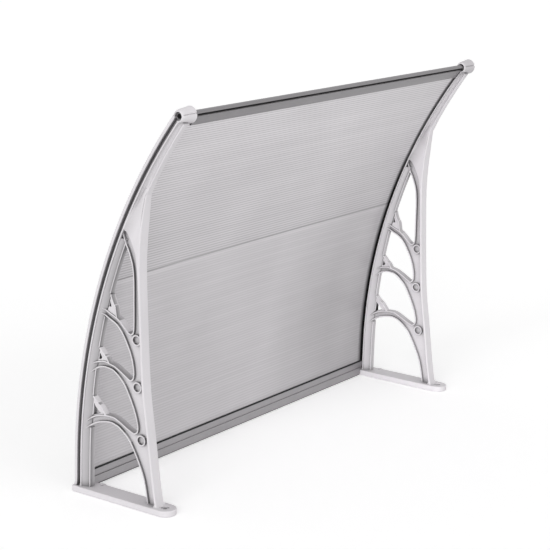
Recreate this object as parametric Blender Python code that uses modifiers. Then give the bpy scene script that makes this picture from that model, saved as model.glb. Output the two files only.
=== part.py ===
"""A door awning: a curved twin-wall sheet between two moulded brackets, with a bar along each long edge.

The awning stands on its wall plates, so the wall is the plane Z = 0. X runs along the bars from the left
bracket to the right one, and the sheet leans out towards -Y. A side view is drawn in two coordinates:
out, the distance from the back of the wall plates towards -Y, and up, the distance from the wall.
The last step moves the awning so that the middle of its base is the origin. Everything is in metres.
"""

import math

import bmesh
import bpy
from mathutils import Matrix, Vector

# Whole awning
BRACKET_PITCH = 0.980
FIT = 0.0003

# Sheet
SHEET_OUT = 0.01026
SHEET_RADIUS = 1.1032
SHEET_STRAIGHT = 0.0682
SHEET_THICK = 0.006
SHEET_SKIN = 0.0006
SHEET_RIB = 0.0005
FLUTE_PITCH = 0.0057
SHEET_FOOT = 0.0125

# Wall plate
PLATE_THICK = 0.012
PLATE_WIDTH = 0.042
PLATE_TIP_OUT = 0.227
PLATE_CORNER = 0.005
PLATE_ROUNDING = 0.002
PLATE_BOLT_HOLE = 0.009
PLATE_BOLT_SINK = 0.015
EAR_OUT = 0.044
EAR_RADIUS = 0.0095
EAR_SCREW_HOLE = 0.005
EAR_STAND_OUT = 0.004

# Beam that holds the sheet
BEAM_WIDTH = 0.024
SLOT_WIDTH = 0.0075
OUTER_FLANGE = 0.0065
SLOT_FLANGE = 0.003
RIM_OUT = 0.034
RIM_RADIUS = 1.127
RIM_WIDTH = 0.016
RIB_THICK = 0.003
WEB_THICK = 0.0035

# Strut, from the wall plate to the beam: (out, up) of its front face
STRUT_FRONT = (
    (0.1955, 0.006),
    (0.1860, 0.056),
    (0.1732, 0.141),
    (0.1612, 0.221),
    (0.1549, 0.303),
    (0.1516, 0.357),
    (0.1482, 0.420),
    (0.1475, 0.465),
    (0.1507, 0.519),
    (0.1600, 0.591),
)
STRUT_FLANGE = 0.0045
STRUT_TAPER = (0.545, 0.592)
STRUT_TAPER_DEPTH = 0.024

# Head of the strut: (depth behind the front face, up) of the edge over the top opening
HEAD_EDGE = ((0.0045, 0.405), (0.0050, 0.432), (0.0100, 0.464), (0.0160, 0.480), (0.0255, 0.496))
HEAD_FOOT_UP = 0.509
HEAD_RISE = 0.039
ARM_WIDTH = 0.015
ARM_OVERLAP = 0.013
RIM_BREAK = (0.486, 0.540)

# Lattice, as (share of the way from the beam's rim to the strut's front face, up). Each bay has a floor
# that falls to a round corner, a side that climbs back over to the beam, and a gusset in the corner
# between its floor and the beam, with a small window in it.
BAY_FLOORS = (
    (
        (-0.095, 0.3583), (-0.030, 0.3569), (0.100, 0.3526), (0.256, 0.3477),
        (0.408, 0.3406), (0.623, 0.3245), (0.705, 0.3215),
    ),
    (
        (-0.098, 0.2516), (-0.046, 0.2547), (0.057, 0.2586), (0.164, 0.2603),
        (0.277, 0.2578), (0.376, 0.2550), (0.509, 0.2480), (0.705, 0.2355),
    ),
    (
        (-0.076, 0.1394), (-0.008, 0.1467), (0.070, 0.1526), (0.190, 0.1574),
        (0.311, 0.1588), (0.428, 0.1568), (0.649, 0.1420), (0.735, 0.1375),
    ),
)
BAY_FLOOR_STARTS = (0.3600, 0.2465, 0.1300)
BAY_SIDES = (
    (
        (0.705, 0.3215), (0.765, 0.3260), (0.783, 0.3410), (0.762, 0.3870),
        (0.719, 0.4240), (0.602, 0.4500), (0.303, 0.4720), (0.000, 0.4845),
    ),
    (
        (0.705, 0.2355), (0.765, 0.2400), (0.788, 0.2510), (0.761, 0.2710), (0.680, 0.2930),
        (0.518, 0.3180), (0.325, 0.3345), (0.104, 0.3430), (-0.022, 0.3478),
    ),
    (
        (0.735, 0.1375), (0.795, 0.1430), (0.811, 0.1570), (0.769, 0.1820), (0.686, 0.2070),
        (0.570, 0.2290), (0.375, 0.2465), (0.221, 0.2505), (0.115, 0.2499), (0.034, 0.2467),
        (-0.024, 0.2426),
    ),
    (
        (0.860, 0.0090), (0.851, 0.0470), (0.811, 0.0740), (0.720, 0.1060), (0.632, 0.1260),
        (0.503, 0.1410), (0.418, 0.1460), (0.314, 0.1480), (0.122, 0.1425), (-0.024, 0.1310),
    ),
)
BAY_SIDE_ENDS = (0.5050, 0.3512, 0.2295, 0.1185)
GUSSET_EDGES = (
    ((0.000, 0.3885), (0.027, 0.3832), (0.092, 0.3763), (0.153, 0.3704), (0.216, 0.3646), (0.300, 0.3463)),
    ((0.000, 0.2838), (0.059, 0.2781), (0.121, 0.2726), (0.176, 0.2685), (0.245, 0.2587)),
    ((0.000, 0.1895), (0.030, 0.1853), (0.086, 0.1790), (0.158, 0.1721), (0.245, 0.1583)),
)
GUSSET_WIDTH = 0.012
GUSSET_COVER = 0.0005
SMALL_WINDOWS = (
    ((0.020, 0.3750), (0.020, 0.3650), (0.083, 0.3650)),
    ((0.020, 0.2740), (0.020, 0.2625), (0.063, 0.2635), (0.075, 0.2670)),
    ((0.020, 0.1760), (0.020, 0.1535), (0.150, 0.1600), (0.059, 0.1692)),
)
RING_SHARE = 0.846
RING_UPS = (0.3135, 0.2262, 0.1285)
RING_RADIUS = 0.0105
RING_BORE = 0.0075

# Collar at the tip of each bracket
COLLAR_ALONG = 0.7729
COLLAR_BORE = 0.0073
COLLAR_NEAR_RADIUS = 0.0115
COLLAR_FAR_RADIUS = 0.0153
COLLAR_START = -0.0008
COLLAR_END = 0.0345
RIM_END_GAP = 0.006

# Front bar: a round bead that opens forwards, and two lips over the sheet's edge
BEAD_CLEARANCE = 0.0007
BEAD_WALL = 0.0016
BEAD_SLOT_FROM = math.radians(21)
BEAD_SLOT_TO = math.radians(76)
LIP_THICK = 0.0015
LIP_LENGTH = 0.023
LIP_FOOT = 0.0015
LIP_START = 0.0466
LIP_END_GAP = 0.0074
BEAD_INSET = 0.003
BEAD_END = 0.028

# Rear bar: a box against the wall, and a channel for the sheet's foot and its seal
REAR_BAR_END_GAP = 0.004
REAR_NOTCH_GAP = 0.001
REAR_BAR_TOP = 0.0322
REAR_WALL = 0.0015
REAR_GROOVE_UP = 0.0198
REAR_GROOVE_WIDTH = 0.0014
REAR_GROOVE_DEPTH = 0.0007
REAR_CHAMFER_OUT = 0.0025
REAR_CHAMFER_UP = 0.005

# Rubber seal between the sheet and the rear bar
SEAL_TONGUE = 0.0007
SEAL_DEPTH = 0.008
SEAL_HEAD = 0.0021

ARC_STEP = math.radians(2.6)
FLAT_ANGLE = math.radians(1.2)
ROUND_POINTS = 20
SPAN_POINTS = 3

SIDE_VIEW = Matrix(((0, 0, -1, 0), (-1, 0, 0, 0), (0, 1, 0, 0), (0, 0, 0, 1)))
BEAM_MIDDLE = BEAM_WIDTH / 2
SHEET_HALF = SHEET_THICK / 2
SLOT_HALF = SLOT_WIDTH / 2
BEAD_RADIUS = COLLAR_BORE - BEAD_CLEARANCE


def clear_scene():
    for obj in list(bpy.data.objects):
        bpy.data.objects.remove(obj)


def collection(name):
    made = bpy.data.collections.new(name)
    bpy.context.scene.collection.children.link(made)
    return made


def material(name, colour, roughness, metallic=0.0, alpha=1.0):
    made = bpy.data.materials.new(name)
    made.use_nodes = True
    shader = made.node_tree.nodes["Principled BSDF"]
    shader.inputs["Base Color"].default_value = (*colour, 1.0)
    shader.inputs["Roughness"].default_value = roughness
    shader.inputs["Metallic"].default_value = metallic
    shader.inputs["Alpha"].default_value = alpha
    return made


def sheet_point(along, offset=0.0):
    """(out, up) at a length along the sheet's middle line, moved by offset towards its hollow side."""
    if along <= SHEET_STRAIGHT:
        return (SHEET_OUT + offset, along)
    angle = (along - SHEET_STRAIGHT) / SHEET_RADIUS
    radius = SHEET_RADIUS - offset
    out = SHEET_OUT + SHEET_RADIUS - radius * math.cos(angle)
    return (out, SHEET_STRAIGHT + radius * math.sin(angle))


def sheet_lengths(start, end):
    """Lengths from start to end that are close enough to follow the sheet's curve."""
    stops = [start]
    if start < SHEET_STRAIGHT < end:
        stops.append(SHEET_STRAIGHT)
    bend = end - max(start, SHEET_STRAIGHT)
    count = max(1, round(bend / (SHEET_RADIUS * ARC_STEP)))
    first = stops[-1]
    return stops + [first + (end - first) * step / count for step in range(1, count + 1)]


def along_of_up(up, offset):
    """Length along the sheet at which the line at this offset reaches a height."""
    if up <= SHEET_STRAIGHT:
        return up
    return SHEET_STRAIGHT + SHEET_RADIUS * math.asin((up - SHEET_STRAIGHT) / (SHEET_RADIUS - offset))


def rim_out(up):
    """How far out the middle of the beam's inner rim is at a height."""
    rise = max(0.0, up - SHEET_STRAIGHT)
    return RIM_OUT + RIM_RADIUS - math.sqrt(RIM_RADIUS**2 - rise**2)


def smooth(knots):
    """Points along a Catmull-Rom curve through the knots."""
    ends = (knots[0], *knots, knots[-1])
    points = []
    for index in range(len(knots) - 1):
        a, b, c, d = ends[index : index + 4]
        for step in range(SPAN_POINTS):
            t = step / SPAN_POINTS
            points.append(
                tuple(
                    b[k] + t * (c[k] - a[k]) / 2
                    + t * t * (2 * a[k] - 5 * b[k] + 4 * c[k] - d[k]) / 2
                    + t**3 * (3 * b[k] - a[k] - 3 * c[k] + d[k]) / 2
                    for k in (0, 1)
                )
            )
    return [*points, tuple(knots[-1])]


def strut_out(up):
    """How far out the strut's front face is at a height."""
    line = smooth(STRUT_FRONT)
    for low, high in zip(line, line[1:]):
        if up <= high[1]:
            return low[0] + (high[0] - low[0]) * (up - low[1]) / (high[1] - low[1])
    return line[-1][0]


def lattice_point(share, up):
    rim = rim_out(up)
    return (rim + share * (strut_out(up) - rim), up)


def lattice_line(knots):
    return [lattice_point(share, up) for share, up in smooth(knots)]


def rim_line(low, high):
    """Points along the beam's rim from one height to a greater one."""
    count = max(1, round((high - low) / (RIM_RADIUS * ARC_STEP)))
    ups = [low + (high - low) * step / count for step in range(count + 1)]
    return [(rim_out(up), up) for up in ups]


def circle(centre, radius, count=ROUND_POINTS):
    turns = [2 * math.pi * step / count for step in range(count)]
    return [(centre[0] + radius * math.cos(a), centre[1] + radius * math.sin(a)) for a in turns]


def side_step(points, index, closed):
    """Unit normal of a line at one of its points, lengthened at a corner so that a band keeps its width."""
    before = points[index - 1] if closed or index > 0 else points[index]
    has_after = closed or index < len(points) - 1
    after = points[(index + 1) % len(points)] if has_after else points[index]
    here = points[index]
    normals = []
    for start, end in ((before, here), (here, after)):
        length = math.dist(start, end)
        if length > 0:
            normals.append(((start[1] - end[1]) / length, (end[0] - start[0]) / length))
    x = sum(n[0] for n in normals)
    y = sum(n[1] for n in normals)
    length = math.hypot(x, y)
    stretch = min(1.6, 1 / (length / len(normals)))
    return (x / length * stretch, y / length * stretch)


def shifted(points, distance, closed=False):
    steps = [side_step(points, index, closed) for index in range(len(points))]
    return [(p[0] + distance * s[0], p[1] + distance * s[1]) for p, s in zip(points, steps)]


def band(points, thickness):
    """Outline of a strip of this thickness along a line."""
    return shifted(points, thickness / 2) + shifted(points, -thickness / 2)[::-1]


def between(start, end, low_offset, high_offset):
    """Outline of the strip between two offsets from the sheet's middle line."""
    lengths = sheet_lengths(start, end)
    low = [sheet_point(along, low_offset) for along in lengths]
    return low + [sheet_point(along, high_offset) for along in reversed(lengths)]


def closed_mesh(curve):
    """Replace a filled curve with the closed mesh it makes, in world coordinates."""
    graph = bpy.context.evaluated_depsgraph_get()
    mesh = bpy.data.meshes.new_from_object(curve.evaluated_get(graph))
    mesh.transform(curve.matrix_world)
    work = bmesh.new()
    work.from_mesh(mesh)
    bmesh.ops.remove_doubles(work, verts=work.verts, dist=1e-6)
    bmesh.ops.recalc_face_normals(work, faces=work.faces)
    work.to_mesh(mesh)
    work.free()
    name = curve.name
    bpy.data.objects.remove(curve)
    solid = bpy.data.objects.new(name, mesh)
    bpy.context.scene.collection.objects.link(solid)
    return solid


def flat_outline(name, loops, thickness, matrix):
    """Solid with flat faces: the first loop is its outline and the others are holes through it."""
    data = bpy.data.curves.new(name, "CURVE")
    data.dimensions = "2D"
    data.fill_mode = "BOTH"
    data.extrude = thickness / 2
    for loop in loops:
        spline = data.splines.new("POLY")
        spline.points.add(len(loop) - 1)
        for point, (x, y) in zip(spline.points, loop):
            point.co = (x, y, 0, 1)
        spline.use_cyclic_u = True
    curve = bpy.data.objects.new(name, data)
    bpy.context.scene.collection.objects.link(curve)
    curve.matrix_world = matrix
    bpy.context.view_layer.update()
    return closed_mesh(curve)


def side_prism(name, loops, start, end):
    """Outline of the side view, pushed along X from start to end."""
    place = Matrix.Translation(((start + end) / 2, 0, 0)) @ SIDE_VIEW
    return flat_outline(name, loops, end - start, place)


def cone_along_x(name, centre, start, end, start_radius, end_radius):
    mesh = bpy.data.meshes.new(name)
    work = bmesh.new()
    place = Matrix.Translation(((start + end) / 2, -centre[0], centre[1]))
    bmesh.ops.create_cone(
        work,
        cap_ends=True,
        segments=ROUND_POINTS,
        radius1=start_radius,
        radius2=end_radius,
        depth=end - start,
        matrix=place @ Matrix.Rotation(math.pi / 2, 4, "Y"),
    )
    work.to_mesh(mesh)
    work.free()
    solid = bpy.data.objects.new(name, mesh)
    bpy.context.scene.collection.objects.link(solid)
    return solid


def cylinder_up(name, centre, low, high, radius):
    """Upright cylinder at (along X, out)."""
    place = Matrix.Translation((centre[0], -centre[1], (low + high) / 2))
    return flat_outline(name, [circle((0, 0), radius)], high - low, place)


def merge_flat_faces(mesh):
    """Join the faces that lie in one plane, which the cuts leave in many pieces."""
    work = bmesh.new()
    work.from_mesh(mesh)
    bmesh.ops.dissolve_limit(work, angle_limit=FLAT_ANGLE, verts=work.verts, edges=work.edges)
    bmesh.ops.triangulate(work, faces=work.faces, ngon_method="EAR_CLIP")
    work.to_mesh(mesh)
    work.free()


def combined(base, tools, operation):
    """The base with each tool joined to it or cut from it, as one new mesh object."""
    for tool in tools:
        modifier = base.modifiers.new(tool.name, "BOOLEAN")
        modifier.operation = operation
        modifier.solver = "MANIFOLD"
        modifier.object = tool
    bpy.context.view_layer.update()
    graph = bpy.context.evaluated_depsgraph_get()
    mesh = bpy.data.meshes.new_from_object(base.evaluated_get(graph))
    merge_flat_faces(mesh)
    name = base.name
    for used in (base, *tools):
        bpy.data.objects.remove(used)
    result = bpy.data.objects.new(name, mesh)
    bpy.context.scene.collection.objects.link(result)
    return result


def bay_floor_from(floor, edge):
    """The part of a bay's floor that lies beyond its gusset."""
    return [edge[-1]] + [knot for knot in floor if knot[0] > edge[-1][0]]


def gusset_loop(floor, edge):
    """Outline of the gusset that fills the corner between a bay's floor and the beam's rim."""
    low = [knot for knot in floor if 0.0 < knot[0] < edge[-1][0]]
    floor_side = [lattice_point(*knot) for knot in reversed(low)] + [lattice_point(0.0, low[0][1])]
    return shifted(lattice_line(edge), GUSSET_COVER) + floor_side


def opening_loops():
    """Middle lines of the ribs around the bracket's four large openings, from the top one down."""
    loops = []
    for index, side in enumerate(BAY_SIDES):
        across = [point for point in lattice_line(side) if point[0] > rim_out(point[1])]
        top = across[-1][1]
        if index < len(BAY_FLOORS):
            edge = GUSSET_EDGES[index]
            low = lattice_line(edge)[:-1] + lattice_line(bay_floor_from(BAY_FLOORS[index], edge))[:-1]
            loops.append(rim_line(edge[0][1], top)[::-1][:-1] + low + across)
        else:
            loops.append(rim_line(side[0][1], top)[::-1] + across)
    return loops


def slot_flange_point(up):
    middle = SLOT_HALF + SLOT_FLANGE / 2
    return sheet_point(along_of_up(up, middle), middle)


def lattice_ribs():
    """Middle lines of the lattice's ribs: one around each bay, from the slot's flange and back to it."""
    lines = []
    for index, side in enumerate(BAY_SIDES):
        line = lattice_line(side) + [slot_flange_point(BAY_SIDE_ENDS[index])]
        if index < len(BAY_FLOORS):
            start = slot_flange_point(BAY_FLOOR_STARTS[index])
            line = [start] + lattice_line(BAY_FLOORS[index])[:-1] + line
        lines.append(line)
    return lines


def web_outline():
    """Outline of the bracket's thin middle wall, inside its flanges."""
    flange_middle = -SLOT_HALF - OUTER_FLANGE / 2
    lengths = sheet_lengths(PLATE_THICK / 4, COLLAR_ALONG)
    back = [sheet_point(along, flange_middle) for along in lengths]
    rim = rim_line(STRUT_FRONT[-1][1], rim_top_up())[::-1]
    front = shifted(smooth(STRUT_FRONT), STRUT_FLANGE / 2)[::-1]
    return back + rim + front


def rim_top_up():
    """Height at which the beam's rim stops, just under the collar."""
    return sheet_point(COLLAR_ALONG - RIM_END_GAP, rim_offset_at_collar())[1]


def rim_offset_at_collar():
    out, up = sheet_point(COLLAR_ALONG)
    return (rim_out(up) - out) * math.cos((COLLAR_ALONG - SHEET_STRAIGHT) / SHEET_RADIUS)


def head_outline():
    """Outline of the solid head, where the strut meets the beam over the top opening."""
    slot_side = SLOT_HALF + SLOT_FLANGE / 2
    edge = smooth(HEAD_EDGE)
    inner = [(strut_out(up) - depth, up) for depth, up in edge]
    foot = along_of_up(HEAD_FOOT_UP, slot_side)
    top = along_of_up(HEAD_FOOT_UP + HEAD_RISE, slot_side)
    beam_side = [sheet_point(along, slot_side) for along in sheet_lengths(foot, top)]
    low = HEAD_EDGE[0][1]
    front = [(out - STRUT_FLANGE / 2, up) for out, up in smooth(STRUT_FRONT) if up > low]
    return inner + beam_side + front[::-1] + [(strut_out(low) - STRUT_FLANGE / 2, low)]


def arm_outline():
    """Outline of the thick wall over the head, between the beam's slot and its rim."""
    slot_side = SLOT_HALF + SLOT_FLANGE / 2
    foot_up = HEAD_FOOT_UP + HEAD_RISE - ARM_OVERLAP
    foot = along_of_up(foot_up, slot_side)
    beam_side = [sheet_point(along, slot_side) for along in sheet_lengths(foot, COLLAR_ALONG)]
    rim = rim_line(STRUT_FRONT[-1][1], rim_top_up())[::-1]
    front = [(out - STRUT_FLANGE / 2, up) for out, up in smooth(STRUT_FRONT)[:-1] if up > foot_up]
    return beam_side + rim + front[::-1]


def wall_plate():
    """Plate that lies against the wall, with a bolt hole near its round tip and a screw ear at its side."""
    half = PLATE_WIDTH / 2
    tip = [
        (half * math.sin(a), PLATE_TIP_OUT - half + half * math.cos(a))
        for a in (math.pi / 2 - math.pi * step / ROUND_POINTS for step in range(ROUND_POINTS + 1))
    ]
    left_corner = [
        (-half + PLATE_CORNER - PLATE_CORNER * math.cos(a), PLATE_CORNER - PLATE_CORNER * math.sin(a))
        for a in (math.pi / 2 * step / 4 for step in range(5))
    ]
    right_corner = [(-x, out) for x, out in reversed(left_corner)]
    outline = [(x, -out) for x, out in tip + left_corner + right_corner]
    place = Matrix.Translation((BEAM_MIDDLE, 0, PLATE_THICK / 2))
    plate = flat_outline("wall_plate", [outline], PLATE_THICK, place)
    bevel = plate.modifiers.new("rounding", "BEVEL")
    bevel.width = PLATE_ROUNDING
    bevel.segments = 2
    bevel.limit_method = "ANGLE"
    bevel.angle_limit = math.radians(60)
    return combined(plate, [], "UNION")


def strut_tapers(depth):
    """Wedges that narrow the top of the strut's flange to the width of the beam's rim."""
    low, high = STRUT_TAPER
    front_view = Matrix(((1, 0, 0, 0), (0, 0, -1, 0), (0, 1, 0, 0), (0, 0, 0, 1)))
    start = rim_out(high) - STRUT_FLANGE
    place = Matrix.Translation((0, -start - STRUT_TAPER_DEPTH / 2, 0)) @ front_view
    low -= (high - low) / 4
    wedges = []
    for name, side, step in (("near_taper", 0.0, depth), ("far_taper", BEAM_WIDTH, -depth)):
        wedge = [
            (side - step / 4, low),
            (side + step, high),
            (side + step, high + depth),
            (side - step, high + depth),
            (side - step, low),
        ]
        wedges.append(flat_outline(name, [wedge], STRUT_TAPER_DEPTH, place))
    return wedges


def bracket_mesh():
    foot = PLATE_THICK / 2
    outer_flange = between(foot, COLLAR_ALONG, -SLOT_HALF - OUTER_FLANGE, -SLOT_HALF)
    slot_flange = between(foot, COLLAR_ALONG, SLOT_HALF, SLOT_HALF + SLOT_FLANGE)
    strut_line = smooth(STRUT_FRONT)
    strut_flange = strut_line + shifted(strut_line, STRUT_FLANGE)[::-1]
    windows = [[lattice_point(share, up) for share, up in corners] for corners in SMALL_WINDOWS]
    rim_low = BEAM_MIDDLE - RIM_WIDTH / 2
    rim_high = BEAM_MIDDLE + RIM_WIDTH / 2
    arm_low = BEAM_MIDDLE - ARM_WIDTH / 2
    arm_high = BEAM_MIDDLE + ARM_WIDTH / 2
    web_low = BEAM_MIDDLE - WEB_THICK / 2
    web_high = BEAM_MIDDLE + WEB_THICK / 2
    collar = sheet_point(COLLAR_ALONG)

    body = wall_plate()
    pieces = [
        side_prism("web", [web_outline(), *opening_loops()], web_low, web_high),
        side_prism("outer_flange", [outer_flange], 0.0, BEAM_WIDTH),
        side_prism("slot_flange", [slot_flange], 0.0, BEAM_WIDTH),
        side_prism("strut_flange", [strut_flange], 0.0, BEAM_WIDTH),
        side_prism("head", [head_outline()], 0.0, BEAM_WIDTH),
        side_prism("arm", [arm_outline()], arm_low, arm_high),
    ]
    for low, high in ((foot, RIM_BREAK[0]), (RIM_BREAK[1], rim_top_up())):
        pieces.append(side_prism("rim", [band(rim_line(low, high), RIB_THICK)], rim_low, rim_high))
    for line in lattice_ribs():
        pieces.append(side_prism("rib", [band(line, RIB_THICK)], rim_low, rim_high))
    gusset_low = BEAM_MIDDLE - GUSSET_WIDTH / 2
    gusset_high = BEAM_MIDDLE + GUSSET_WIDTH / 2
    for floor, edge in zip(BAY_FLOORS, GUSSET_EDGES):
        pieces.append(side_prism("gusset", [gusset_loop(floor, edge)], gusset_low, gusset_high))
    for up in RING_UPS:
        centre = lattice_point(RING_SHARE, up)
        ring = [circle(centre, RING_RADIUS), circle(centre, RING_BORE)]
        pieces.append(side_prism("ring", ring, rim_low, rim_high))
    radii = (COLLAR_NEAR_RADIUS, COLLAR_FAR_RADIUS)
    pieces.append(cone_along_x("collar", collar, COLLAR_START, COLLAR_END, *radii))
    ear_centre = (BEAM_MIDDLE + PLATE_WIDTH / 2 - EAR_RADIUS + EAR_STAND_OUT, EAR_OUT)
    pieces.append(cylinder_up("ear", ear_centre, 0.0, PLATE_THICK, EAR_RADIUS))
    body = combined(body, pieces, "UNION")

    slot = between(PLATE_THICK - PLATE_ROUNDING, COLLAR_ALONG, -SLOT_HALF, SLOT_HALF)
    bolt = (BEAM_MIDDLE, PLATE_TIP_OUT - PLATE_WIDTH / 2)
    before = 2 * COLLAR_START
    beyond = 2 * COLLAR_END
    cutters = [
        cone_along_x("bore", collar, before, beyond, COLLAR_BORE, COLLAR_BORE),
        side_prism("near_slot", [slot], before, web_low),
        side_prism("far_slot", [slot], web_high, beyond),
        cylinder_up("bolt_hole", bolt, -PLATE_THICK, 2 * PLATE_THICK, PLATE_BOLT_HOLE / 2),
        cylinder_up("bolt_sink", bolt, PLATE_THICK / 2, 2 * PLATE_THICK, PLATE_BOLT_SINK / 2),
        cylinder_up("screw_hole", ear_centre, -PLATE_THICK, 2 * PLATE_THICK, EAR_SCREW_HOLE / 2),
    ]
    for window in windows:
        cutters.append(side_prism("window", [window], 0.0, BEAM_WIDTH))
    cutters += strut_tapers(rim_low)
    return combined(body, cutters, "DIFFERENCE").data


def roof_sheet():
    """Twin-wall sheet: two skins joined by ribs, with flutes that run along X and are open at both ends."""
    start = SHEET_FOOT
    end = COLLAR_ALONG - BEAD_RADIUS - LIP_THICK - FIT
    count = round((end - start) / FLUTE_PITCH)
    pitch = (end - start) / count
    stops = [start + pitch * index for index in range(count + 1)]
    outline = [sheet_point(along, SHEET_HALF) for along in stops]
    outline += [sheet_point(along, -SHEET_HALF) for along in reversed(stops)]
    inner = SHEET_HALF - SHEET_SKIN
    flutes = []
    for low, high in zip(stops, stops[1:]):
        first = low + SHEET_RIB / 2 if low > start else low + SHEET_RIB
        last = high - SHEET_RIB / 2 if high < end else high - SHEET_RIB
        corners = ((first, inner), (last, inner), (last, -inner), (first, -inner))
        flutes.append([sheet_point(along, offset) for along, offset in corners])
    edge = BEAM_MIDDLE + WEB_THICK / 2 + FIT
    far_edge = BRACKET_PITCH + BEAM_MIDDLE - WEB_THICK / 2 - FIT
    return side_prism("roof_sheet", [outline, *flutes], edge, far_edge)


def tip_frame():
    """Function that turns (along the sheet, towards its hollow side) at the collar into (out, up)."""
    centre = sheet_point(COLLAR_ALONG)
    angle = (COLLAR_ALONG - SHEET_STRAIGHT) / SHEET_RADIUS

    def point(along, offset):
        out = centre[0] + along * math.sin(angle) + offset * math.cos(angle)
        return (out, centre[1] + along * math.cos(angle) - offset * math.sin(angle))

    return point


def front_bar():
    """Extruded bar: a bead with a slot along it, and two lips with feet that close on the sheet."""
    point = tip_frame()
    sweep = 2 * math.pi - (BEAD_SLOT_TO - BEAD_SLOT_FROM)
    turns = [BEAD_SLOT_TO + sweep * step / ROUND_POINTS for step in range(ROUND_POINTS + 1)]
    inner = BEAD_RADIUS - BEAD_WALL
    bead = [point(BEAD_RADIUS * math.cos(a), BEAD_RADIUS * math.sin(a)) for a in turns]
    bead += [point(inner * math.cos(a), inner * math.sin(a)) for a in reversed(turns)]
    lip_in = BEAD_RADIUS - LIP_THICK
    foot_in = SHEET_HALF + FIT
    lips = []
    for side in (1, -1):
        lips.append(
            [
                point(0.0, side * BEAD_RADIUS),
                point(-LIP_LENGTH, side * BEAD_RADIUS),
                point(-LIP_LENGTH, side * foot_in),
                point(-LIP_LENGTH + LIP_FOOT, side * foot_in),
                point(-LIP_LENGTH + LIP_FOOT, side * lip_in),
                point(0.0, side * lip_in),
            ]
        )
    stop = [
        point(-BEAD_RADIUS - LIP_THICK, lip_in + LIP_THICK / 2),
        point(-BEAD_RADIUS - LIP_THICK, -lip_in - LIP_THICK / 2),
        point(-BEAD_RADIUS + BEAD_WALL / 2, -lip_in - LIP_THICK / 2),
        point(-BEAD_RADIUS + BEAD_WALL / 2, lip_in + LIP_THICK / 2),
    ]
    lip_end = BRACKET_PITCH - LIP_END_GAP
    base = side_prism("front_bar", [bead], BEAD_INSET, BRACKET_PITCH + BEAD_END)
    tools = [side_prism("lip", [loop], LIP_START, lip_end) for loop in lips]
    tools.append(side_prism("stop", [stop], LIP_START, lip_end))
    return combined(base, tools, "UNION")


def rear_bar_faces():
    """(back face, channel's back, channel's front, front face) of the rear bar, as distances out."""
    front_in = SHEET_OUT + SHEET_HALF + 2 * FIT + SEAL_TONGUE
    back_in = SHEET_OUT - SHEET_HALF - 2 * FIT
    return back_in - REAR_WALL, back_in, front_in, front_in + REAR_WALL


def rear_bar():
    """Extruded bar: a hollow box on the wall side, and a channel over it that takes the sheet's foot."""
    back, back_in, front_in, front = rear_bar_faces()
    floor = SHEET_FOOT - FIT
    groove_low = REAR_GROOVE_UP - REAR_GROOVE_WIDTH / 2
    groove_high = REAR_GROOVE_UP + REAR_GROOVE_WIDTH / 2
    outline = [
        (back, 0.0),
        (front - REAR_CHAMFER_OUT, 0.0),
        (front, REAR_CHAMFER_UP),
        (front, groove_low),
        (front - REAR_GROOVE_DEPTH, groove_low),
        (front - REAR_GROOVE_DEPTH, groove_high),
        (front, groove_high),
        (front, REAR_BAR_TOP),
        (front_in, REAR_BAR_TOP),
        (front_in, floor),
        (back_in, floor),
        (back_in, REAR_BAR_TOP),
        (back, REAR_BAR_TOP),
    ]
    hollow = [
        (back + REAR_WALL, REAR_WALL),
        (front - REAR_CHAMFER_OUT - REAR_WALL, REAR_WALL),
        (front - REAR_WALL, REAR_CHAMFER_UP + REAR_WALL / 4),
        (front - REAR_WALL, floor - REAR_WALL),
        (back + REAR_WALL, floor - REAR_WALL),
    ]
    start = BEAM_WIDTH + REAR_BAR_END_GAP
    end = BRACKET_PITCH - REAR_BAR_END_GAP
    bar = side_prism("rear_bar", [outline, hollow], start, end)
    plate_side = BEAM_MIDDLE + PLATE_WIDTH / 2 + REAR_NOTCH_GAP
    notch_top = PLATE_THICK + REAR_NOTCH_GAP
    notch = [(-front, -notch_top), (2 * front, -notch_top), (2 * front, notch_top), (-front, notch_top)]
    far_plate_side = BRACKET_PITCH + BEAM_MIDDLE - PLATE_WIDTH / 2 - REAR_NOTCH_GAP
    notches = [
        side_prism("near_notch", [notch], start - plate_side, plate_side),
        side_prism("far_notch", [notch], far_plate_side, end + plate_side),
    ]
    return combined(bar, notches, "DIFFERENCE")


def rear_seal():
    """Rubber strip whose tongue fills the channel in front of the sheet, and whose head closes it."""
    _, _, front_in, front = rear_bar_faces()
    inner = SHEET_OUT + SHEET_HALF + FIT
    head_low = REAR_BAR_TOP + FIT
    outline = [
        (inner, REAR_BAR_TOP - SEAL_DEPTH),
        (inner + SEAL_TONGUE, REAR_BAR_TOP - SEAL_DEPTH),
        (inner + SEAL_TONGUE, head_low),
        (front, head_low),
        (front - SEAL_HEAD / 3, head_low + SEAL_HEAD),
        (inner, head_low + SEAL_HEAD),
    ]
    start = BEAM_WIDTH + REAR_BAR_END_GAP
    return side_prism("rear_seal", [outline], start, BRACKET_PITCH - REAR_BAR_END_GAP)


def finish(obj, home, coating):
    """Give an object its material, shade its curves smooth and put it in the awning's collection."""
    obj.data.materials.clear()
    obj.data.materials.append(coating)
    obj.data.shade_smooth()
    obj.data.set_sharp_from_angle(angle=math.radians(30))
    for holder in list(obj.users_collection):
        holder.objects.unlink(obj)
    home.objects.link(obj)


def stand_on_origin(objects):
    """Move the awning so that the middle of its base is the origin."""
    bpy.context.view_layer.update()
    corners = [obj.matrix_world @ Vector(corner) for obj in objects for corner in obj.bound_box]
    low = [min(corner[axis] for corner in corners) for axis in range(3)]
    high = [max(corner[axis] for corner in corners) for axis in range(3)]
    middle = Vector(((low[0] + high[0]) / 2, (low[1] + high[1]) / 2, low[2]))
    for obj in objects:
        obj.location -= middle


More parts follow.
